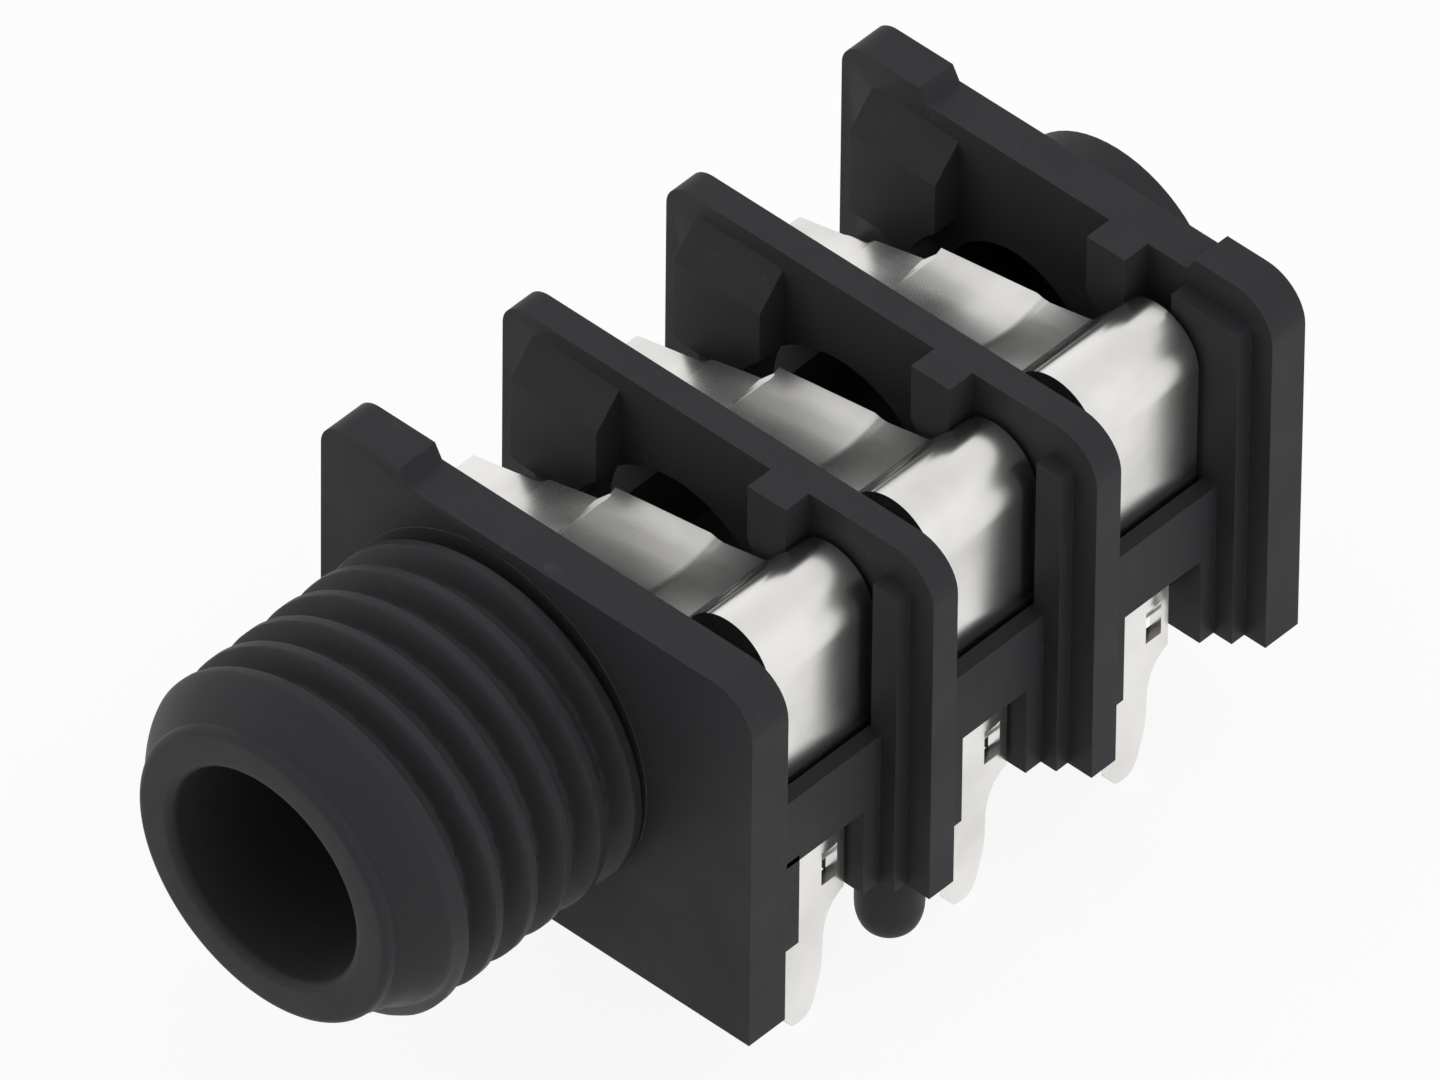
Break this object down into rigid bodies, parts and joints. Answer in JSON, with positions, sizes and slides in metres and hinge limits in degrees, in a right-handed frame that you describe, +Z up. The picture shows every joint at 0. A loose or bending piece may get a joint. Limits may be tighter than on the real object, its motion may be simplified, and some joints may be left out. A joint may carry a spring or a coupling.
{
  "type": "audio jack socket",
  "caption": "Board-mounted audio jack socket: a black moulded housing with a threaded nose, open bays, sprung plug contacts and break contacts with solder tails.",
  "frame": {"origin": "on the plug's axis, in the plane of the front flange's front face", "axes": "+Y from the nose to the rear along the plug's axis, +Z up from the board, +X to the side of the contact springs' legs"},
  "size_m": [0.0154, 0.0332, 0.0161],
  "materials": {
    "housing": "moulded black nylon, slightly rough",
    "contact": "bright tin-plated spring strip"
  },
  "bodies": {
    "housing": {"housing": "housing", "sleeve_spring_leg": "contact", "ring_spring_leg": "contact", "tip_spring_leg": "contact", "sleeve_break_contact": "contact", "ring_break_contact": "contact", "tip_break_contact": "contact"},
    "sleeve_arm": {"sleeve_spring_arm": "contact"},
    "ring_arm": {"ring_spring_arm": "contact"},
    "tip_arm": {"tip_spring_arm": "contact"}
  },
  "joints": [
    {"name": "sleeve_arm_flex", "type": "hinge", "parent": "housing", "child": "sleeve_arm", "pos_m": [0.0069, 0.00485, 0.0031], "axis": [0, 1, 0], "range_deg": [0, 8], "stiffness_Nm_per_rad": 0.02, "springref_deg": -5.73},
    {"name": "ring_arm_flex", "type": "hinge", "parent": "housing", "child": "ring_arm", "pos_m": [0.0069, 0.0112, 0.0031], "axis": [0, 1, 0], "range_deg": [0, 8], "stiffness_Nm_per_rad": 0.02, "springref_deg": -5.73},
    {"name": "tip_arm_flex", "type": "hinge", "parent": "housing", "child": "tip_arm", "pos_m": [0.0069, 0.01755, 0.0031], "axis": [0, 1, 0], "range_deg": [0, 8], "stiffness_Nm_per_rad": 0.02, "springref_deg": -5.73}
  ]
}
